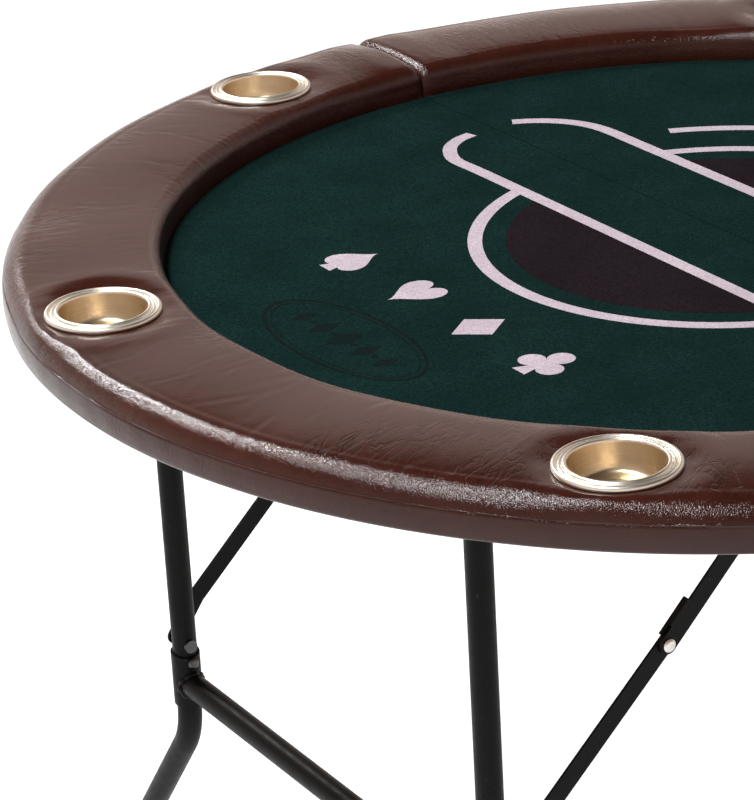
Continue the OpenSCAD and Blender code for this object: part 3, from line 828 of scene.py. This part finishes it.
for s, nm in ((-1, "left"), (1, "right")):
    cb_lo, cb_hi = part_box("crossbar_" + nm)
    cx, cz = (cb_lo.x + cb_hi.x) / 2, (cb_lo.z + cb_hi.z) / 2
    tr = (cb_hi.z - cb_lo.z) / 2
    sl_lo, sl_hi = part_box("leg_sleeves_" + nm)
    sr = (sl_hi.x - sl_lo.x) / 2
    ly = sl_hi.y - sr
    parts = []
    for q in (-1, 1):
        path = []
        for k in range(44):
            a = 2 * math.pi * k / 44
            dx, dz = (tr + 0.0006) * math.cos(a), (tr + 0.0006) * math.sin(a)
            yy = ly - math.sqrt(max(sr * sr - dx * dx, 0))
            path.append((cx + dx, q * (yy - 0.0003), cz + dz))
        parts.append(bead_ring(path, 0.0021, seed=3 + q))
    v, f = join(parts)
    o = make("weld_beads_" + nm, v, f, [WELD], body=None)
    fix_normals(o)
    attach(o, "leg_frame_" + nm)

# ------------------------------------------------------------------ stage, light and camera
fm = Mat("pale_floor")
fm.set(Base_Color=fm.mix(fm.noise(2.0, 2.0), (0.32, 0.32, 0.32), (0.36, 0.36, 0.36)), Roughness=0.9)
fm.b.inputs["Specular IOR Level"].default_value = 0.1
fm.b.inputs["Emission Color"].default_value = (1, 1, 1, 1)
fm.b.inputs["Emission Strength"].default_value = 0.93
floor = make("floor", [(-25, -25, 0), (25, -25, 0), (25, 25, 0), (-25, 25, 0)], [(0, 1, 2, 3)], [fm.m], smooth=False, body=None)

scene = bpy.context.scene
world = bpy.data.worlds.new("studio")
scene.world = world
world.use_nodes = True
wt = world.node_tree
bg = wt.nodes["Background"]
co = wt.nodes.new("ShaderNodeTexCoord")
sp = wt.nodes.new("ShaderNodeSeparateXYZ")
wt.links.new(co.outputs["Generated"], sp.inputs[0])
rp = wt.nodes.new("ShaderNodeValToRGB")
wt.links.new(sp.outputs["Z"], rp.inputs["Fac"])
el = rp.color_ramp.elements
while len(el) < 7:
    el.new(0.5)
for e_, (p_, c_) in zip(el, ((0.0, 1.25), (0.08, 1.1), (0.18, 0.56), (0.46, 0.82), (0.555, 0.05), (0.80, 0.02), (1.0, 0.02))):
    e_.position = p_
    e_.color = (c_, c_ * 0.83, c_ * 0.77, 1)
wt.links.new(rp.outputs["Color"], bg.inputs["Color"])
bg.inputs["Strength"].default_value = 1.0


def area(name, direction, dist, size, power, along=(0, 0, 1), target=(0, 0, 0.7), shape="RECTANGLE"):
    l = bpy.data.lights.new(name, "AREA")
    l.shape = shape
    l.size, l.size_y = size
    l.energy = power
    o = bpy.data.objects.new(name, l)
    scene.collection.objects.link(o)
    d = Vector(direction).normalized()
    y = Vector(along) - d * d.dot(Vector(along))
    y.normalize()
    x = y.cross(d)
    o.matrix_world = Matrix.Translation(Vector(target) + d * dist) @ Matrix((x, y, d)).transposed().to_4x4()
    return o


area("softbox_far_left", (-0.68, 2.38, 1.98), 3.25, (0.26, 1.15), 70, along=(-0.10, -0.75, 0.70))
area("softbox_over_left", (-1.55, 0.0, 2.85), 3.24, (0.22, 2.7), 132, along=(-0.45, -1.5, 0.0))

cam = bpy.data.cameras.new("camera")
co_ = bpy.data.objects.new("camera", cam)
scene.collection.objects.link(co_)
yaw, pit, rol = (math.radians(v) for v in (30.44, 23.016, -3.282))
fw = Vector((math.sin(yaw) * math.cos(pit), math.cos(yaw) * math.cos(pit), -math.sin(pit)))
rt = Vector((math.cos(yaw), -math.sin(yaw), 0))
up = rt.cross(fw)
r2 = rt * math.cos(rol) + up * math.sin(rol)
u2 = -rt * math.sin(rol) + up * math.cos(rol)
M = Matrix.Identity(4)
for k in range(3):
    M[k][0], M[k][1], M[k][2] = r2[k], u2[k], -fw[k]
M[0][3], M[1][3], M[2][3] = -1.6425, -2.1981, 1.7552
co_.matrix_world = M
cam.lens = 36 * 3445.2 / 800
cam.sensor_width = 36
cam.clip_start, cam.clip_end = 0.05, 100
scene.camera = co_
scene.view_settings.view_transform = "Standard"
